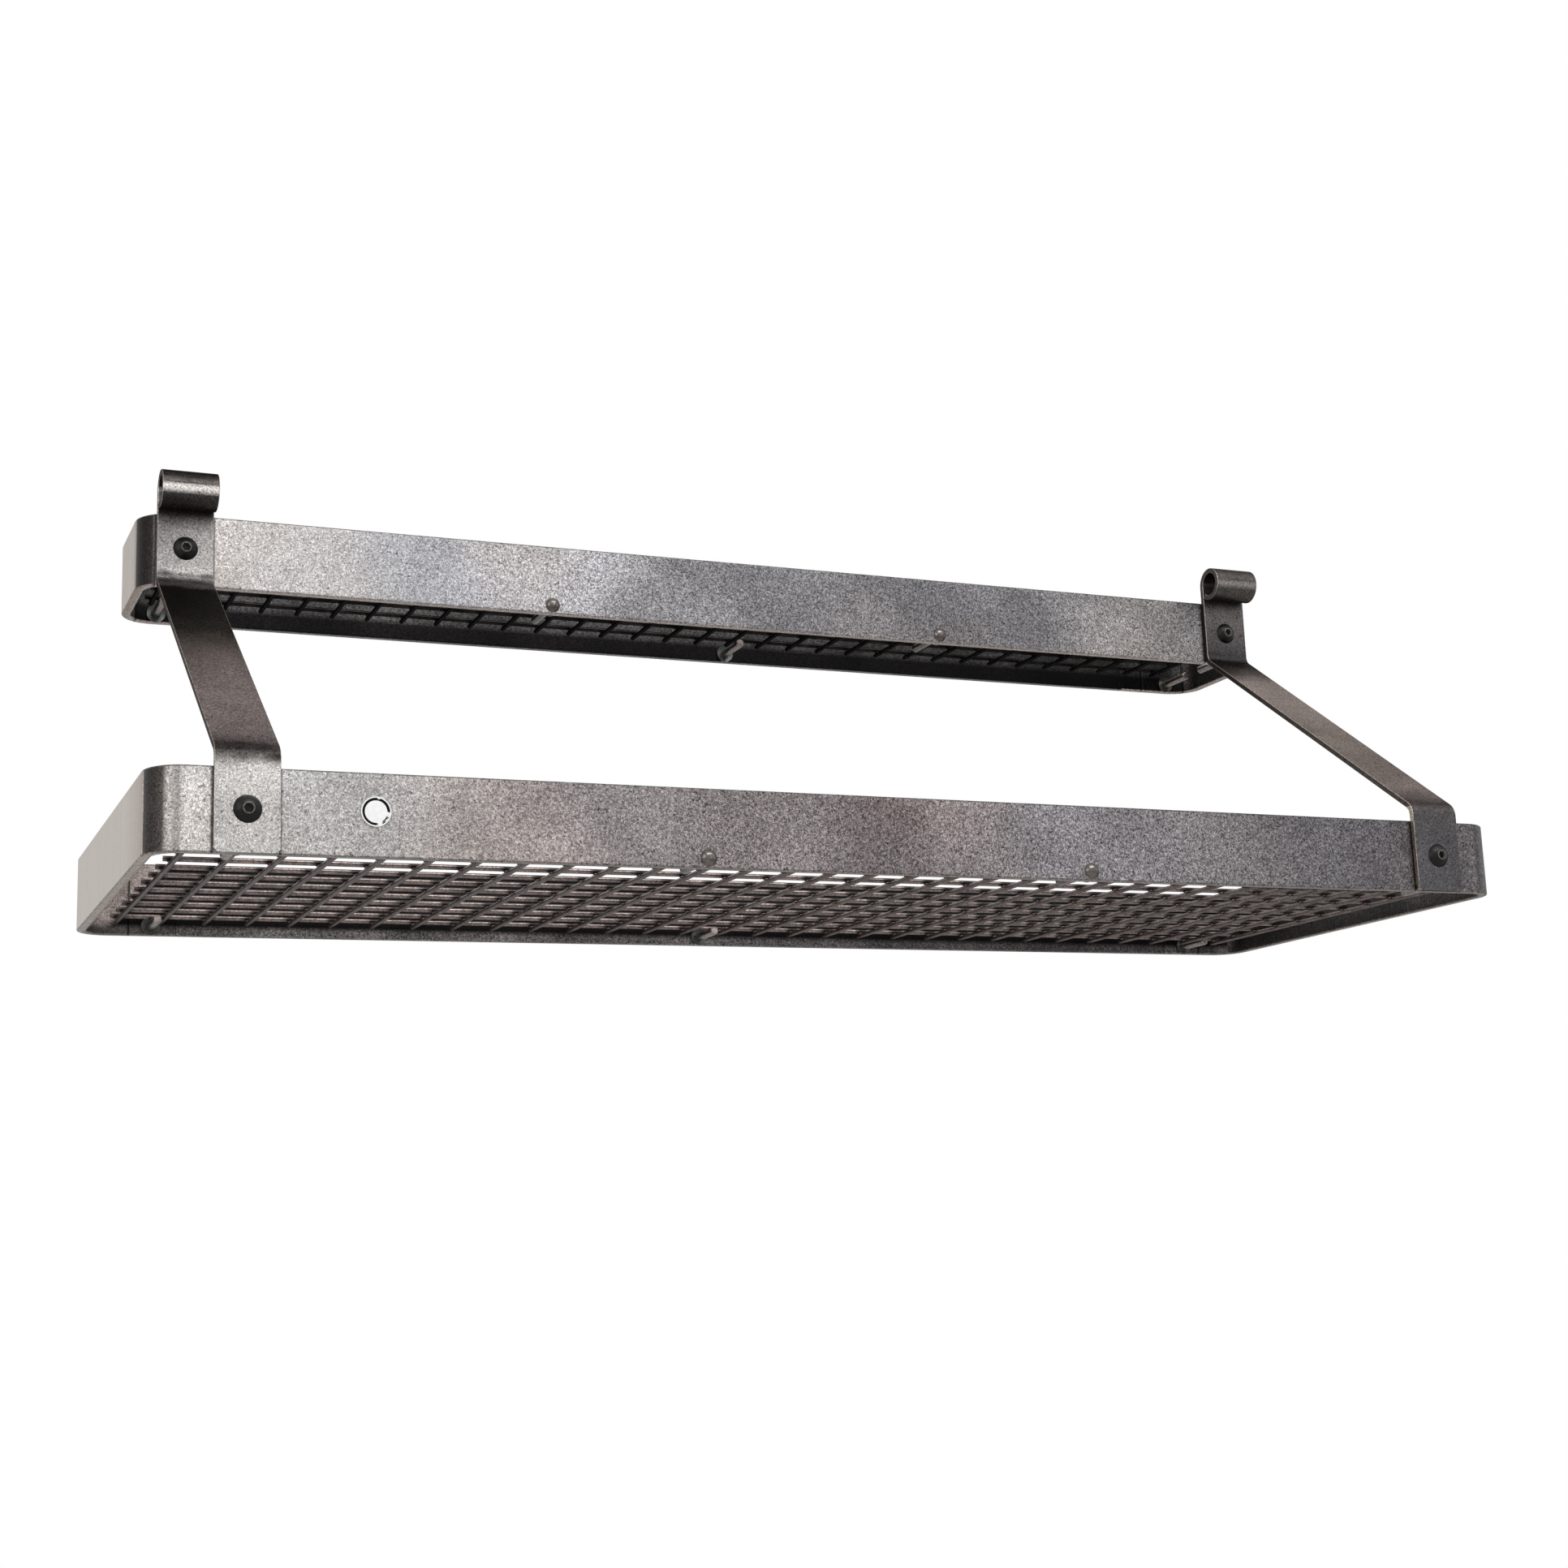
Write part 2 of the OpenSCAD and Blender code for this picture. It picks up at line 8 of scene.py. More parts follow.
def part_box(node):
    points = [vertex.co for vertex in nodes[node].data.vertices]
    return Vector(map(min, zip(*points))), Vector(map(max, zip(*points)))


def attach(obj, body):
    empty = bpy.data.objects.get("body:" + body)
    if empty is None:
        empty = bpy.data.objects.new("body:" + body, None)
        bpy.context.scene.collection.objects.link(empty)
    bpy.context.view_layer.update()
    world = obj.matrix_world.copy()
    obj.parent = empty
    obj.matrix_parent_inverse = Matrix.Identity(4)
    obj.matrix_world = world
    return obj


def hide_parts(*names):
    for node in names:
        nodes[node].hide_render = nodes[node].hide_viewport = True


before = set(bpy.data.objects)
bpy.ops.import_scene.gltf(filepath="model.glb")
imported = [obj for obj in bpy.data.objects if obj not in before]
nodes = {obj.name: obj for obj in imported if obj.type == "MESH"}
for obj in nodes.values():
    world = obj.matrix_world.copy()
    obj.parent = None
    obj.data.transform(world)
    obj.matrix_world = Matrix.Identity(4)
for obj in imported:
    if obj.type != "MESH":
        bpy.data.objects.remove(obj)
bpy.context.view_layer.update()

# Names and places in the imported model, in metres. The wall is at y = 0, and the trays reach towards -y.

MM = 0.001
ALONG, UP = 0, 2
TIERS = ("lower", "upper")
SIDES = ("left", "right")
PITCH = {"lower": 0.030, "upper": 0.026}
HALF_LENGTH = {"lower": 0.4775, "upper": 0.452}
DEPTH = {"lower": 0.350, "upper": 0.1065}
GRID_HEIGHT = {"lower": -0.0195, "upper": 0.2155}
TIER_RISE = 0.2278
BETWEEN_TIERS = 0.11
RETURNS_FROM = -0.012
STRAP_FOOT, STRAP_TOP = -0.03, 0.28
STRAP_LOWER_END = 0.036
EYE_HIGHLIGHT_FOOT = 0.2588
FLOOR_HEIGHT = -0.85
LUMP_RADIUS = 0.62  # of the wire's thickness
LUMP_FLATNESS = 0.4
BADGE_ALONG, BADGE_HEIGHT = -0.3463, 0.0019
strap_low, strap_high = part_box("right_strap")
STRAP_MIDDLE = (strap_low.x + strap_high.x) / 2
STRAP_HALF_WIDTH = (strap_high.x - strap_low.x) / 2


# Camera, solved from the photograph's edges

CAMERA_PLACE = (-0.66312, -1.69358, -0.26230)
CAMERA_YAW = 0.41599
CAMERA_PITCH = 0.20096
CAMERA_ROLL = -0.03842
FOCAL_PIXELS = 2895.68
PHOTO_PIXELS = 1932
CENTRE_PIXEL = (991.92, 954.91)
SENSOR_MM = 36.0


def make_camera():
    data = bpy.data.cameras.new("camera")
    data.sensor_width = SENSOR_MM
    data.lens = FOCAL_PIXELS / PHOTO_PIXELS * SENSOR_MM
    data.shift_x = (PHOTO_PIXELS / 2 - CENTRE_PIXEL[0]) / PHOTO_PIXELS
    data.shift_y = (CENTRE_PIXEL[1] - PHOTO_PIXELS / 2) / PHOTO_PIXELS
    data.clip_start = 0.05
    camera = bpy.data.objects.new("camera", data)
    bpy.context.scene.collection.objects.link(camera)
    forward = Vector((math.sin(CAMERA_YAW) * math.cos(CAMERA_PITCH),
                      math.cos(CAMERA_YAW) * math.cos(CAMERA_PITCH), math.sin(CAMERA_PITCH)))
    level = Vector((math.cos(CAMERA_YAW), -math.sin(CAMERA_YAW), 0))
    upright = level.cross(forward)
    right = math.cos(CAMERA_ROLL) * level + math.sin(CAMERA_ROLL) * upright
    up = -math.sin(CAMERA_ROLL) * level + math.cos(CAMERA_ROLL) * upright
    turn = Matrix((right, up, -forward)).transposed()
    camera.matrix_world = Matrix.Translation(CAMERA_PLACE) @ turn.to_4x4()
    bpy.context.scene.camera = camera


# Node helpers

def new_material(name):
    material = bpy.data.materials.new(name)
    material.use_nodes = True
    tree = material.node_tree
    return material, tree, tree.nodes["Principled BSDF"]


def link(tree, output, target):
    tree.links.new(output, target)


def feed(tree, socket, value):
    """Joins a socket to an output, or sets it to a number or a colour."""
    if isinstance(value, bpy.types.NodeSocket):
        link(tree, value, socket)
    else:
        socket.default_value = value if isinstance(value, (int, float)) else (*value, 1)


def object_coords(tree, scale=(1, 1, 1)):
    coords = tree.nodes.new("ShaderNodeTexCoord")
    mapping = tree.nodes.new("ShaderNodeMapping")
    mapping.inputs["Scale"].default_value = scale
    link(tree, coords.outputs["Object"], mapping.inputs["Vector"])
    return mapping.outputs["Vector"]


def noise(tree, vector, scale, detail=2.0, roughness=0.5, distortion=0.0):
    """Noise over a place, with its scale in waves per metre."""
    node = tree.nodes.new("ShaderNodeTexNoise")
    node.inputs["Scale"].default_value = scale
    node.inputs["Detail"].default_value = detail
    node.inputs["Roughness"].default_value = roughness
    node.inputs["Distortion"].default_value = distortion
    link(tree, vector, node.inputs["Vector"])
    return node.outputs["Fac"]


def ramp(tree, value, stops):
    node = tree.nodes.new("ShaderNodeValToRGB")
    points = node.color_ramp.elements
    for point, (place, colour) in zip(points, stops[:2]):
        point.position = place
        point.color = (*colour, 1)
    for place, colour in stops[2:]:
        points.new(place).color = (*colour, 1)
    link(tree, value, node.inputs["Fac"])
    return node.outputs["Color"]


def grey_ramp(tree, value, *stops):
    return ramp(tree, value, [(place, (level,) * 3) for place, level in stops])


def mix_colour(tree, kind, share, first, second):
    """Mixes two colours. For colours the node uses its inputs 0, 6 and 7 and its output 2."""
    node = tree.nodes.new("ShaderNodeMix")
    node.data_type = "RGBA"
    node.blend_type = kind
    for number, value in ((0, share), (6, first), (7, second)):
        feed(tree, node.inputs[number], value)
    return node.outputs[2]


def blend(tree, share, first, second):
    return mix_colour(tree, "MIX", share, first, second)


def multiply(tree, base, other, share=1.0):
    return mix_colour(tree, "MULTIPLY", share, base, other)


def to_range(tree, value, low, high, new_low=0.0, new_high=1.0):
    node = tree.nodes.new("ShaderNodeMapRange")
    node.inputs["From Min"].default_value = low
    node.inputs["From Max"].default_value = high
    node.inputs["To Min"].default_value = new_low
    node.inputs["To Max"].default_value = new_high
    link(tree, value, node.inputs["Value"])
    return node.outputs["Result"]


def math_node(tree, operation, first, second=0.0):
    node = tree.nodes.new("ShaderNodeMath")
    node.operation = operation
    for socket, value in zip(node.inputs, (first, second)):
        feed(tree, socket, value)
    return node.outputs[0]


def magnitude(tree, value):
    return math_node(tree, "ABSOLUTE", value)


def centimetres_from(tree, aside, above):
    """Distance from a centre, in centimetres so that it suits a ramp, from the steps aside and up."""
    squares = math_node(tree, "ADD", math_node(tree, "MULTIPLY", aside, aside),
                        math_node(tree, "MULTIPLY", above, above))
    return math_node(tree, "MULTIPLY", math_node(tree, "SQRT", squares), 100)


def split(tree, vector):
    node = tree.nodes.new("ShaderNodeSeparateXYZ")
    link(tree, vector, node.inputs[0])
    return node.outputs["X"], node.outputs["Y"], node.outputs["Z"]


def face_direction(tree):
    """Which way a face of the piece looks, along the piece's own axes."""
    coords = tree.nodes.new("ShaderNodeTexCoord")
    return split(tree, coords.outputs["Normal"])


def bump(tree, shader, height, distance, strength):
    node = tree.nodes.new("ShaderNodeBump")
    node.inputs["Distance"].default_value = distance
    node.inputs["Strength"].default_value = strength
    link(tree, height, node.inputs["Height"])
    link(tree, node.outputs["Normal"], shader.inputs["Normal"])


def mix_shaders(tree, share, first, second, target):
    node = tree.nodes.new("ShaderNodeMixShader")
    for socket, output in zip(node.inputs, (share, first, second)):
        link(tree, output, socket)
    link(tree, node.outputs[0], target)


# Tones, chosen and set by comparing renders with the photograph. A rail's run from its left end
# to its right end, a strap's from its foot to its top.

# The rail tones are painted reflections, set out along each rail's length.
RAIL_TONES = {
    "lower": [
        (0.0, (0.70, 0.68, 0.66)), (0.09, (0.46, 0.44, 0.42)), (0.18, (0.46, 0.43, 0.41)),
        (0.26, (0.29, 0.265, 0.26)), (0.38, (0.245, 0.215, 0.21)), (0.49, (0.18, 0.155, 0.152)),
        (0.60, (0.31, 0.29, 0.295)), (0.74, (0.20, 0.187, 0.188)), (0.90, (0.112, 0.106, 0.113)),
        (1.0, (0.15, 0.142, 0.145))],
    "upper": [
        (0.0, (0.30, 0.28, 0.26)), (0.11, (0.43, 0.425, 0.425)), (0.235, (0.335, 0.335, 0.345)),
        (0.34, (0.34, 0.33, 0.33)), (0.45, (0.215, 0.208, 0.208)), (0.70, (0.175, 0.168, 0.172)),
        (0.82, (0.27, 0.255, 0.25)), (1.0, (0.205, 0.20, 0.20))]}
# Painted light and shade on the rounded long edges of each rail.
PAINTED_EDGE_TONE = {"lower": (0.20, 0.165, 0.15), "upper": (0.46, 0.39, 0.365)}
END_TONES = {"lower": ((0.36, 0.32, 0.285), (0.46, 0.405, 0.365)),
             "upper": ((0.31, 0.265, 0.23), (0.39, 0.335, 0.29))}

# Painted shade on rear faces: below the grid, above it, and at the left end, past the grid, which is
# painted light on the lower tier
REAR_TONES = {"lower": ((0.115, 0.105, 0.105), (0.005, 0.004, 0.004), (0.42, 0.35, 0.325)),
              "upper": ((0.007, 0.006, 0.006), (0.055, 0.052, 0.052), (0.010, 0.009, 0.009))}

# The strap tones are painted shade and painted highlights around the bends, with painted shade on the upper
# part of the left strap.
STRAP_TONES = {
    "left": [
        (0.0, (0.48, 0.46, 0.445)), (0.10, (0.48, 0.46, 0.445)), (0.16, (0.62, 0.60, 0.58)),
        (0.175, (0.59, 0.565, 0.55)), (0.185, (0.38, 0.355, 0.34)), (0.193, (0.085, 0.077, 0.074)),
        (0.200, (0.021, 0.019, 0.018)), (0.208, (0.024, 0.021, 0.020)), (0.215, (0.052, 0.045, 0.043)),
        (0.225, (0.125, 0.107, 0.102)), (0.25, (0.185, 0.158, 0.150)), (0.29, (0.235, 0.198, 0.188)),
        (0.43, (0.220, 0.185, 0.174)), (0.50, (0.14, 0.12, 0.11)), (0.57, (0.045, 0.041, 0.036)),
        (0.65, (0.020, 0.018, 0.016)), (0.722, (0.016, 0.015, 0.013)), (0.728, (0.035, 0.032, 0.030)),
        (0.735, (0.115, 0.106, 0.102)), (0.745, (0.175, 0.163, 0.157)), (0.757, (0.070, 0.066, 0.063)),
        (0.764, (0.062, 0.058, 0.056)), (0.769, (0.200, 0.190, 0.184)), (0.775, (0.46, 0.44, 0.43)),
        (0.784, (0.40, 0.385, 0.375)), (0.796, (0.34, 0.327, 0.318)), (0.88, (0.22, 0.21, 0.205)),
        (0.91, (0.060, 0.054, 0.051)), (0.950, (0.060, 0.054, 0.051)), (0.975, (0.033, 0.030, 0.028))],
    "right": [
        (0.0, (0.103, 0.099, 0.104)), (0.17, (0.104, 0.099, 0.103)), (0.22, (0.080, 0.070, 0.068)),
        (0.27, (0.265, 0.222, 0.208)), (0.45, (0.295, 0.248, 0.224)), (0.66, (0.358, 0.302, 0.281)),
        (0.70, (0.13, 0.112, 0.105)), (0.735, (0.045, 0.041, 0.039)), (0.77, (0.037, 0.035, 0.035)),
        (0.79, (0.070, 0.067, 0.067)), (0.88, (0.148, 0.134, 0.130)), (0.91, (0.095, 0.085, 0.080))]}
# A painted highlight band across the front of each eye.
EYE_HIGHLIGHT = {"left": (0.84, 0.78, 0.745), "right": (0.26, 0.24, 0.232)}

# The side from which light is painted onto the wires: faces turned away from it get painted shade
PAINTED_LIGHT_SIDE = (-0.65, -0.73, -0.24)


# Finishes

def wavering(tree, value, vector, scale, amount):
    """A place along the piece, pushed to and fro so that a change of tone has no straight border."""
    push = to_range(tree, noise(tree, vector, scale, 2.0, 0.6), 0.25, 0.75, -amount, amount)
    return math_node(tree, "ADD", value, push)


def grained(tree, shader, base, plain, depth=0.55, amount=1.0):
    """Worm-like grain with pits and small bright specks over a colour."""
    grain = noise(tree, plain, 850, 3.0, 0.72, 1.0)
    pits = noise(tree, plain, 430, 1.0)
    speckle = grey_ramp(tree, grain, (0.35, 0.12), (0.50, 0.84), (0.65, 2.3))
    base = multiply(tree, base, speckle, amount)
    base = multiply(tree, base, grey_ramp(tree, pits, (0.26, 0.25), (0.33, 1.0)), 0.8)
    link(tree, to_range(tree, grain, 0.3, 0.7, 0.46, 0.30), shader.inputs["Roughness"])
    bump(tree, shader, grain, 0.25 * MM, depth)
    return base


def shade_and_light_behind_grid(tree, plain, tier):
    """Painted shade on a rear face, different below and above the grid, with a painted tone at the left
    end, past the grid: light on the lower tier, dark on the upper.
    """
    below, above, past_grid = REAR_TONES[tier]
    level = GRID_HEIGHT[tier]
    along, _, height = split(tree, plain)
    mottled = grey_ramp(tree, noise(tree, plain, 14, 2.0), (0.36, 0.7), (0.64, 1.35))
    over_grid = to_range(tree, height, level - 2 * MM, level + 2 * MM)
    raised = math_node(tree, "SUBTRACT", height, level + 5.7 * MM)
    slanted = math_node(tree, "SUBTRACT", along, math_node(tree, "MULTIPLY", raised, 0.95))
    open_end = grey_ramp(tree, to_range(tree, slanted, -0.480, -0.446),
                         (0.0, 0.25), (0.6, 1.0), (0.8, 1.05), (1.0, 0.0))
    above = blend(tree, open_end, above, past_grid)
    return multiply(tree, blend(tree, over_grid, below, above), mottled)


def back_face_tone(tree, plain):
    """Darker mottled tone for the faces towards the wall and the rear bars' other faces; on faces that look
    into a tray it is painted shade.
    """
    clouds = noise(tree, plain, 11, 2.0, 0.5, 0.4)
    return ramp(tree, clouds, [(0.35, (0.115, 0.108, 0.112)), (0.65, (0.185, 0.175, 0.178))])


def facing_inwards(tree, plain, depth):
    """1 on the faces that look into a tray, 0 on its outer faces."""
    along, out, _ = split(tree, plain)
    side, front, _ = face_direction(tree)
    from_middle = math_node(tree, "ADD", out, depth / 2)
    outward = math_node(tree, "ADD", math_node(tree, "MULTIPLY", side, along),
                        math_node(tree, "MULTIPLY", front, from_middle))
    return math_node(tree, "LESS_THAN", outward, -0.01)


def face_with_painted_reflections(tree, plain, place, tier):
    """Outer face of a rail: painted reflections as tones along the length under soft clouds, and painted
    shade at the bends.
    """
    side, front, _ = face_direction(tree)
    base = ramp(tree, place, RAIL_TONES[tier])
    clouds = grey_ramp(tree, noise(tree, plain, 11, 2.0, 0.5, 0.4), (0.35, 0.82), (0.65, 1.20))
    base = multiply(tree, base, clouds)
    tint = ramp(tree, noise(tree, plain, 5, 1.5), [(0.42, (0.97, 0.98, 1.03)), (0.58, (1.03, 0.98, 0.96))])
    base = multiply(tree, base, tint, 0.8)
    # Painted shade at the bends, broken by a paler streak of painted reflection.
    bend = grey_ramp(tree, magnitude(tree, side), (0.08, 0.0), (0.25, 0.55), (0.38, 0.45),
                     (0.46, 0.52), (0.60, 0.97), (0.97, 1.0), (0.99, 0.0))
    bend = math_node(tree, "MULTIPLY", bend, to_range(tree, front, -0.15, 0.25, 1.0, 0.55))
    return multiply(tree, base, (0.036, 0.032, 0.030), bend)


def shaded_face(tree, plain, place):
    """Inner face of a rail: painted shade, dark and brown, made paler by painted light towards the left
    end.
    """
    base = ramp(tree, noise(tree, plain, 14, 2.0),
                [(0.36, (0.040, 0.034, 0.034)), (0.64, (0.085, 0.073, 0.072))])
    return multiply(tree, base, grey_ramp(tree, place, (0.0, 3.4), (0.30, 1.0), (1.0, 0.75)))


def edge_light_and_shade(tree, base, along, tier):
    """Painted light and shade on the rounding along the flat sides, and painted shade on the top edge."""
    _, _, up = face_direction(tree)
    rounding = grey_ramp(tree, magnitude(tree, up), (0.12, 0.0), (0.35, 0.6), (1.0, 0.85))
    at_end = math_node(tree, "GREATER_THAN", magnitude(tree, along), HALF_LENGTH[tier] - 4.5 * MM)
    base = blend(tree, rounding, base, blend(tree, at_end, PAINTED_EDGE_TONE[tier], (0.36, 0.29, 0.235)))
    top_edge = grey_ramp(tree, up, (0.04, 0.0), (0.15, 0.8), (1.0, 0.9))
    return blend(tree, top_edge, base, grey_ramp(tree, up, (0.5, 0.06), (0.9, 0.15)))


def shadow_beside_straps(tree, base, along):
    """The fine dark line where a strap lies on the rail: a painted contact shadow."""
    from_strap = math_node(tree, "SUBTRACT", magnitude(tree, along), STRAP_MIDDLE)
    past_edge = math_node(tree, "SUBTRACT", magnitude(tree, from_strap), STRAP_HALF_WIDTH)
    gap = grey_ramp(tree, to_range(tree, past_edge, -0.5 * MM, 2 * MM),
                    (0.0, 1.0), (0.12, 0.12), (0.45, 0.25), (0.95, 1.0))
    return multiply(tree, base, gap)


def smooth_ends(tree, base, along, out, tier):
    """The outer faces of a tray's two ends: smooth, pale and warmer towards the front."""
    side, _, _ = face_direction(tree)
    brushed = noise(tree, object_coords(tree, (1, 1, 0.02)), 260, 2.0)
    darker, lighter = END_TONES[tier]
    end_colour = ramp(tree, brushed, [(0.3, darker), (0.7, lighter)])
    # Darker and warmer towards the front.
    darker_towards_front = ramp(tree, to_range(tree, out, -DEPTH[tier], -0.7 * DEPTH[tier]),
                   [(0.1, (0.66, 0.58, 0.52)), (0.8, (1, 1, 1))])
    end_colour = multiply(tree, end_colour, darker_towards_front)
    outer = math_node(tree, "GREATER_THAN", math_node(tree, "MULTIPLY", side, along), 0.0)
    flat = to_range(tree, magnitude(tree, side), 0.97, 0.995)
    return blend(tree, math_node(tree, "MULTIPLY", outer, flat), base, end_colour)


def rail_steel(tier):
    """Clear-coated rolled bar: painted reflections as tones along its length, smooth pale ends, painted
    shade inside and at the bends.
    """
    material, tree, shader = new_material(tier + "_rail_finish")
    plain = object_coords(tree)
    along, out, _ = split(tree, plain)
    _, front, _ = face_direction(tree)
    place = to_range(tree, wavering(tree, along, plain, 9, 0.05), -HALF_LENGTH[tier], HALF_LENGTH[tier])
    towards_wall = to_range(tree, front, 0.2, 0.8)
    base = blend(tree, towards_wall, face_with_painted_reflections(tree, plain, place, tier), back_face_tone(tree, plain))
    inner = blend(tree, towards_wall, shaded_face(tree, plain, place), back_face_tone(tree, plain))
    on_return = math_node(tree, "GREATER_THAN", out, RETURNS_FROM)
    inner = blend(tree, on_return, inner, shade_and_light_behind_grid(tree, plain, tier))
    base = blend(tree, facing_inwards(tree, plain, DEPTH[tier]), base, inner)
    base = edge_light_and_shade(tree, base, along, tier)
    coarse = grey_ramp(tree, place, (0.0, 0.65), (0.2, 0.72), (0.38, 1.0))
    base = grained(tree, shader, base, plain, 0.55, coarse)
    strokes = noise(tree, object_coords(tree, (1, 1, 0.035)), 420, 1.0, 0.5, 0.3)
    scored = grey_ramp(tree, strokes, (0.72, 0.0), (0.79, 1.0))
    base = mix_colour(tree, "ADD", scored, base, (0.10, 0.10, 0.10))
    base = shadow_beside_straps(tree, base, along)
    link(tree, smooth_ends(tree, base, along, out, tier), shader.inputs["Base Color"])
    shader.inputs["Metallic"].default_value = 0.9
    return material


def rear_steel(tier):
    """The rear bars: a darker tone on their outer faces, and painted shade on their inner faces, which sit
    in the shade of the grid, growing paler towards the left end.
    """
    material, tree, shader = new_material(tier + "_rear_finish")
    plain = object_coords(tree)
    along, _, _ = split(tree, plain)
    # Painted light: paler towards the left end.
    painted_light_falloff = grey_ramp(tree, to_range(tree, along, -0.45, 0.45), (0.0, 1.5), (0.25, 1.5), (1.0, 0.6))
    shaded = multiply(tree, shade_and_light_behind_grid(tree, plain, tier), painted_light_falloff)
    _, front, _ = face_direction(tree)
    inner = math_node(tree, "LESS_THAN", front, -0.5)
    base = blend(tree, inner, back_face_tone(tree, plain), shaded)
    link(tree, grained(tree, shader, base, plain), shader.inputs["Base Color"])
    shader.inputs["Metallic"].default_value = 0.85
    return material


def strap_steel(side_name):
    """Strap bar: painted shade and highlights as tones up its height, painted highlights on the rounded
    side edges, and a painted highlight band on the front of the eye.
    """
    material, tree, shader = new_material(side_name + "_strap_finish")
    plain = object_coords(tree)
    _, _, height = split(tree, plain)
    side, front, up = face_direction(tree)
    place = to_range(tree, wavering(tree, height, plain, 25, 0.004), STRAP_FOOT, STRAP_TOP)
    base = ramp(tree, place, STRAP_TONES[side_name])
    clouds = grey_ramp(tree, noise(tree, plain, 22, 2.0, 0.5, 0.4), (0.35, 0.86), (0.65, 1.14))
    base = multiply(tree, base, clouds)
    front_of_eye = math_node(tree, "MULTIPLY", math_node(tree, "GREATER_THAN", height, EYE_HIGHLIGHT_FOOT),
                             math_node(tree, "LESS_THAN", front, -0.5))
    facing = grey_ramp(tree, to_range(tree, up, -1.0, 1.0),
                       (0.265, 0.0), (0.375, 1.0), (0.435, 1.0), (0.55, 0.0))
    base = blend(tree, math_node(tree, "MULTIPLY", front_of_eye, facing), base, EYE_HIGHLIGHT[side_name])
    sideways = magnitude(tree, side)
    # Painted highlight on the rounded side edges.
    pale_rim = grey_ramp(tree, sideways, (0.12, 0.0), (0.35, 0.65), (0.85, 0.65), (0.97, 0.0))
    base = blend(tree, pale_rim, base, (0.46, 0.41, 0.38))
    lower_end = math_node(tree, "LESS_THAN", height, STRAP_LOWER_END)
    cut_colour = blend(tree, lower_end, (0.075, 0.066, 0.061), (0.42, 0.36, 0.29))
    base = blend(tree, to_range(tree, sideways, 0.97, 0.99), base, cut_colour)
    link(tree, grained(tree, shader, base, plain, 0.35, 0.6), shader.inputs["Base Color"])
    shader.inputs["Metallic"].default_value = 0.95
    shader.inputs["Specular Tint"].default_value = (0.30, 0.30, 0.30, 1)
    return material


def wire_steel(name, dark, light, edge_shine, pitch=None):
    """Dull drawn wire with a warm cast and fine mottling, painted shade on the faces turned from the lit
    side, and painted shadow beside the crossings of a given pitch.
    """
    material, tree, shader = new_material(name)
    plain = object_coords(tree)
    grain = noise(tree, plain, 700, 2.0, 0.6)
    base = ramp(tree, noise(tree, plain, 60, 2.0), [(0.35, dark), (0.65, light)])
    base = multiply(tree, base, grey_ramp(tree, grain, (0.30, 0.55), (0.70, 1.5)))
    # Painted shade on the faces turned from the lit side.
    coords = tree.nodes.new("ShaderNodeTexCoord")
    towards = tree.nodes.new("ShaderNodeVectorMath")
    towards.operation = "DOT_PRODUCT"
    towards.inputs[1].default_value = PAINTED_LIGHT_SIDE
    link(tree, coords.outputs["Normal"], towards.inputs[0])
    base = multiply(tree, base, grey_ramp(tree, towards.outputs["Value"], (0.10, 0.20), (0.48, 1.0)))
    # Painted shadow beside each crossing.
    if pitch:
        along, _, _ = split(tree, plain)
        step = math_node(tree, "FRACT", math_node(tree, "DIVIDE", along, pitch))
        crossing = grey_ramp(tree, step, (0.0, 0.15), (0.13, 0.20), (0.28, 1.0),
                             (0.80, 1.0), (0.93, 0.25), (1.0, 0.15))
        base = multiply(tree, base, crossing)
    link(tree, base, shader.inputs["Base Color"])
    link(tree, to_range(tree, grain, 0.3, 0.7, 0.40, 0.26), shader.inputs["Roughness"])
    shader.inputs["Specular Tint"].default_value = (edge_shine, edge_shine, edge_shine, 1)
    shader.inputs["Metallic"].default_value = 0.9
    bump(tree, shader, grain, 0.1 * MM, 0.4)
    return material


def black_oxide():
    """Black screw heads, rubbed to bare metal around the hex socket."""
    material, tree, shader = new_material("black_oxide")
    plain = object_coords(tree)
    along, _, height = split(tree, plain)
    grain = noise(tree, plain, 900, 2.0)
    base = ramp(tree, grain, [(0.3, (0.002, 0.002, 0.002)), (0.7, (0.008, 0.0075, 0.0075))])
    aside = math_node(tree, "SUBTRACT", magnitude(tree, along), STRAP_MIDDLE)
    upper = math_node(tree, "GREATER_THAN", height, BETWEEN_TIERS)
    above = math_node(tree, "SUBTRACT", height, math_node(tree, "MULTIPLY", upper, TIER_RISE))
    pale_rim = grey_ramp(tree, centimetres_from(tree, aside, above),
                     (0.26, 0.0), (0.29, 0.9), (0.33, 0.8), (0.37, 0.0))
    link(tree, blend(tree, pale_rim, base, (0.17, 0.155, 0.146)), shader.inputs["Base Color"])
    link(tree, to_range(tree, grain, 0.3, 0.7, 0.44, 0.32), shader.inputs["Roughness"])
    shader.inputs["Metallic"].default_value = 0.0
    shader.inputs["Specular IOR Level"].default_value = 0.22
    bump(tree, shader, grain, 0.05 * MM, 0.4)
    return material


def small_hardware(name, dark, light, roughness, tip=None):
    """Plated or bare small hardware with light wear; a tip colour goes on the faces towards the front."""
    material, tree, shader = new_material(name)
    wear = noise(tree, object_coords(tree), 500, 3.0, 0.6)
    base = ramp(tree, wear, [(0.35, dark), (0.65, light)])
    if tip:
        _, front, _ = face_direction(tree)
        base = blend(tree, to_range(tree, front, -0.80, -0.95), base, tip)
    link(tree, base, shader.inputs["Base Color"])
    duller, smoother = roughness
    link(tree, to_range(tree, wear, 0.3, 0.7, duller, smoother), shader.inputs["Roughness"])
    shader.inputs["Metallic"].default_value = 1.0
    bump(tree, shader, wear, 0.05 * MM, 0.3)
    return material


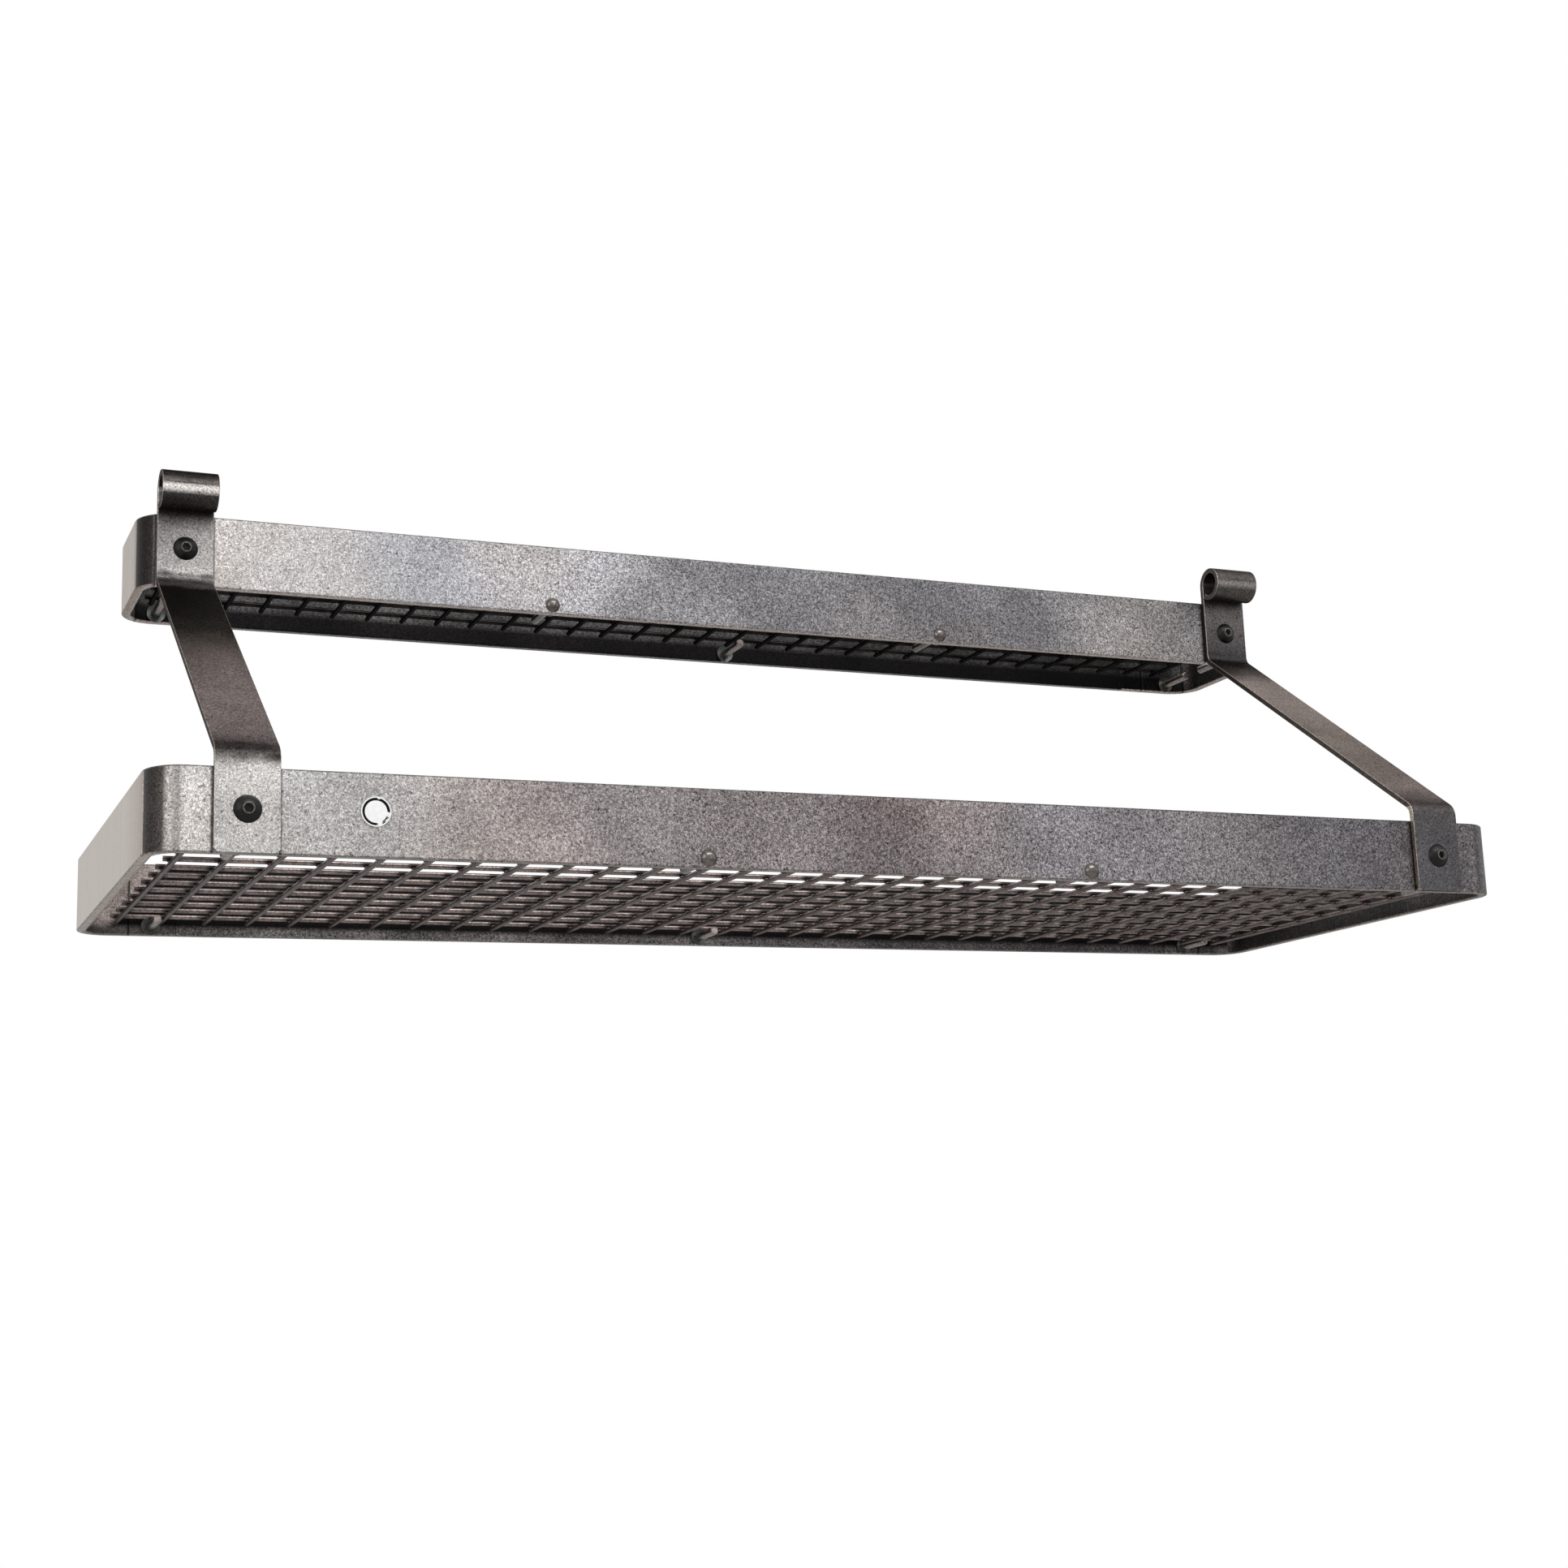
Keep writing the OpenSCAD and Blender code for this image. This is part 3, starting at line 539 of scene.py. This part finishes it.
def badge_plate():
    """Bright plate with a thin dark ring of painted reflection, broken into arcs."""
    material, tree, shader = new_material("badge_plate")
    plain = object_coords(tree)
    along, _, height = split(tree, plain)
    wear = noise(tree, plain, 400, 2.0)
    base = ramp(tree, wear, [(0.3, (0.86, 0.86, 0.86)), (0.7, (0.95, 0.95, 0.95))])
    aside = math_node(tree, "SUBTRACT", along, BADGE_ALONG)
    above = math_node(tree, "SUBTRACT", height, BADGE_HEIGHT)
    # Painted reflection: dark arcs in a ring.
    dark_arcs = grey_ramp(tree, centimetres_from(tree, aside, above),
                       (0.66, 0.0), (0.68, 1.0), (0.82, 1.0), (0.84, 0.0))
    patches = grey_ramp(tree, noise(tree, plain, 190, 1.0), (0.36, 0.0), (0.42, 1.0))
    dark_arcs = multiply(tree, dark_arcs, patches)
    link(tree, blend(tree, dark_arcs, base, (0.012, 0.012, 0.012)), shader.inputs["Base Color"])
    link(tree, to_range(tree, wear, 0.3, 0.7, 0.20, 0.12), shader.inputs["Roughness"])
    shader.inputs["Metallic"].default_value = 1.0
    bump(tree, shader, wear, 0.03 * MM, 0.3)
    return material


def dress(names, material):
    for name in names:
        mesh = nodes[name].data
        mesh.materials.clear()
        mesh.materials.append(material)


def finish_all():
    """Gives every node its finish, and returns the ones that the weld lumps share with the wires."""
    for tier in TIERS:
        dress([tier + "_hoop"], rail_steel(tier))
        dress([tier + "_rear_bar", tier + "_frame_welds"], rear_steel(tier))
    for side in SIDES:
        dress([side + "_strap"], strap_steel(side))
    corners = [f"{tier}_{side}" for tier in TIERS for side in SIDES]
    dress([corner + "_strap_screw" for corner in corners], black_oxide())
    dress([f"{corner}_{part}" for corner in corners for part in ("strap_nut", "lock_washer")],
          small_hardware("zinc_plate", (0.42, 0.42, 0.40), (0.58, 0.58, 0.56), (0.40, 0.28)))
    dress([f"{tier}_{part}_supports" for tier in TIERS for part in ("covered", "rear")],
          small_hardware("support_screw_finish", (0.17, 0.148, 0.137), (0.32, 0.28, 0.26), (0.34, 0.24),
                         tip=(0.85, 0.72, 0.68)))
    dress([tier + "_dome_supports" for tier in TIERS],
          small_hardware("dome_screw", (0.10, 0.088, 0.082), (0.18, 0.158, 0.146), (0.32, 0.20)))
    dress([tier + "_retaining_washers" for tier in TIERS],
          small_hardware("washer_zinc", (0.10, 0.108, 0.098), (0.175, 0.19, 0.175), (0.46, 0.34)))
    # The long wires and cross wires are lit and shaded copies of one lower wire: painted light and painted
    # shade.
    long_wire = wire_steel("lower_long_wire_finish", (0.150, 0.121, 0.112), (0.230, 0.187, 0.174), 0.7,
                           PITCH["lower"])
    lower_wire = wire_steel("lower_wire_finish", (0.125, 0.098, 0.090), (0.190, 0.152, 0.140), 0.7)
    # The upper grid's wires: the same wire in painted shade, near-black.
    upper_wire = wire_steel("upper_wire_finish", (0.010, 0.009, 0.008), (0.026, 0.023, 0.022), 0.2)
    dress(["lower_grid_long_wires"], long_wire)
    dress(["lower_grid_cross_wires"], lower_wire)
    dress(["upper_grid_long_wires", "upper_grid_cross_wires"], upper_wire)
    dress(["badge"], badge_plate())
    return {"lower": lower_wire, "upper": upper_wire}


# Rounded bars and weld lumps

def rounded_bar(node, axis, width):
    """Stands for a bar's node: the same bar with the sharp edges on its two flat sides rounded."""
    mesh = nodes[node].data.copy()
    piece = bpy.data.objects.new(node + "_rounded", mesh)
    bpy.context.scene.collection.objects.link(piece)
    bpy.ops.object.select_all(action="DESELECT")
    bpy.context.view_layer.objects.active = piece
    piece.select_set(True)
    bpy.ops.object.mode_set(mode="EDIT")
    bpy.ops.mesh.select_mode(type="EDGE")
    bpy.ops.mesh.select_all(action="SELECT")
    bpy.ops.mesh.remove_doubles(threshold=0.01 * MM)
    bpy.ops.mesh.dissolve_limited(angle_limit=math.radians(0.5))
    bpy.ops.mesh.select_all(action="DESELECT")
    bpy.ops.mesh.edges_select_sharp(sharpness=math.radians(40))
    bpy.ops.object.mode_set(mode="OBJECT")
    flats = [corner[axis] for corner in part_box(node)]
    for edge in mesh.edges:
        ends = [mesh.vertices[number].co[axis] for number in edge.vertices]
        on_flat = any(max(abs(end - flat) for end in ends) < 0.05 * MM for flat in flats)
        edge.select = edge.select and on_flat
    bpy.ops.object.mode_set(mode="EDIT")
    bpy.ops.mesh.bevel(offset=width, segments=3, affect="EDGES")
    bpy.ops.object.mode_set(mode="OBJECT")
    bpy.ops.object.shade_smooth_by_angle(angle=math.radians(35))
    even = piece.modifiers.new("even", "WEIGHTED_NORMAL")
    even.keep_sharp = True
    bpy.ops.object.modifier_apply(modifier="even")
    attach(piece, "rack")
    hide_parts(node)


def weld_lumps(tier, pitch, material):
    """The flattened lumps where the wires of a grid cross: one shaped from a ball, then set out in rows."""
    long_low, long_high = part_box(tier + "_grid_long_wires")
    cross_low, cross_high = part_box(tier + "_grid_cross_wires")
    wire = long_high.z - long_low.z
    rows = round((long_high.y - long_low.y - wire) / pitch) + 1
    columns = round((cross_high.x - cross_low.x - wire) / pitch) + 1
    bpy.ops.object.select_all(action="DESELECT")
    bpy.ops.mesh.primitive_uv_sphere_add(segments=8, ring_count=6, radius=LUMP_RADIUS * wire)
    piece = bpy.context.active_object
    piece.name = tier + "_grid_welds"
    first = (cross_low.x + wire / 2, long_low.y + wire / 2, long_low.z)
    bpy.ops.object.mode_set(mode="EDIT")
    bpy.ops.mesh.select_all(action="SELECT")
    bpy.ops.transform.resize(value=(1, 1, LUMP_FLATNESS), center_override=(0, 0, 0))
    bpy.ops.transform.translate(value=first)
    bpy.ops.object.mode_set(mode="OBJECT")
    bpy.ops.object.shade_smooth()
    for name, count, step in (("columns", columns, (pitch, 0, 0)), ("rows", rows, (0, pitch, 0))):
        array = piece.modifiers.new(name, "ARRAY")
        array.count = count
        array.use_relative_offset = False
        array.use_constant_offset = True
        array.constant_offset_displace = step
        bpy.ops.object.modifier_apply(modifier=name)
    piece.data.materials.append(material)
    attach(piece, tier + "_grid")


def add_details(wires):
    for tier in TIERS:
        rounded_bar(tier + "_hoop", UP, 0.6 * MM)
        rounded_bar(tier + "_rear_bar", UP, 0.6 * MM)
        weld_lumps(tier, PITCH[tier], wires[tier])
    for side in SIDES:
        rounded_bar(side + "_strap", ALONG, 0.5 * MM)


# Studio

def make_world():
    """White all round, at full strength for what is seen or mirrored and dimmer for what it lights."""
    world = bpy.data.worlds.new("studio")
    bpy.context.scene.world = world
    world.use_nodes = True
    tree = world.node_tree
    dim = tree.nodes["Background"]
    full = tree.nodes.new("ShaderNodeBackground")
    for background, strength in ((dim, 0.55), (full, 1.0)):
        background.inputs["Color"].default_value = (1, 1, 1, 1)
        background.inputs["Strength"].default_value = strength
    path = tree.nodes.new("ShaderNodeLightPath")
    mirrored = math_node(tree, "MAXIMUM", path.outputs["Is Glossy Ray"],
                         path.outputs["Is Transmission Ray"])
    seen = math_node(tree, "MAXIMUM", path.outputs["Is Camera Ray"], mirrored)
    surface = tree.nodes["World Output"].inputs["Surface"]
    mix_shaders(tree, seen, dim.outputs[0], full.outputs[0], surface)


def make_floor():
    """A pale floor that the camera sees as plain white."""
    bpy.ops.object.select_all(action="DESELECT")
    bpy.ops.mesh.primitive_plane_add(size=24, location=(0, 0, FLOOR_HEIGHT))
    floor = bpy.context.active_object
    floor.name = "floor"
    material, tree, shader = new_material("floor_paint")
    shader.inputs["Base Color"].default_value = (0.82, 0.82, 0.82, 1)
    shader.inputs["Roughness"].default_value = 0.9
    white = tree.nodes.new("ShaderNodeEmission")
    path = tree.nodes.new("ShaderNodeLightPath")
    surface = tree.nodes["Material Output"].inputs["Surface"]
    mix_shaders(tree, path.outputs["Is Camera Ray"], shader.outputs[0], white.outputs[0], surface)
    floor.data.materials.append(material)


def make_lamp(name, place, target, size, power):
    data = bpy.data.lights.new(name, "AREA")
    data.shape = "RECTANGLE"
    data.size, data.size_y = size
    data.energy = power
    lamp = bpy.data.objects.new(name, data)
    bpy.context.scene.collection.objects.link(lamp)
    lamp.location = place
    aim = Vector(target) - Vector(place)
    lamp.rotation_euler = aim.to_track_quat("-Z", "Y").to_euler()


def make_studio():
    bpy.context.scene.view_settings.view_transform = "Standard"
    make_world()
    make_floor()
    make_lamp("overhead", place=(0.2, -1.9, 2.1), target=(0, -0.2, 0.1), size=(2.4, 0.9), power=42)
    make_lamp("left side", place=(-2.6, -1.6, 0.7), target=(-0.4, -0.2, 0.1), size=(1.0, 1.8), power=13)


make_camera()
add_details(finish_all())
make_studio()
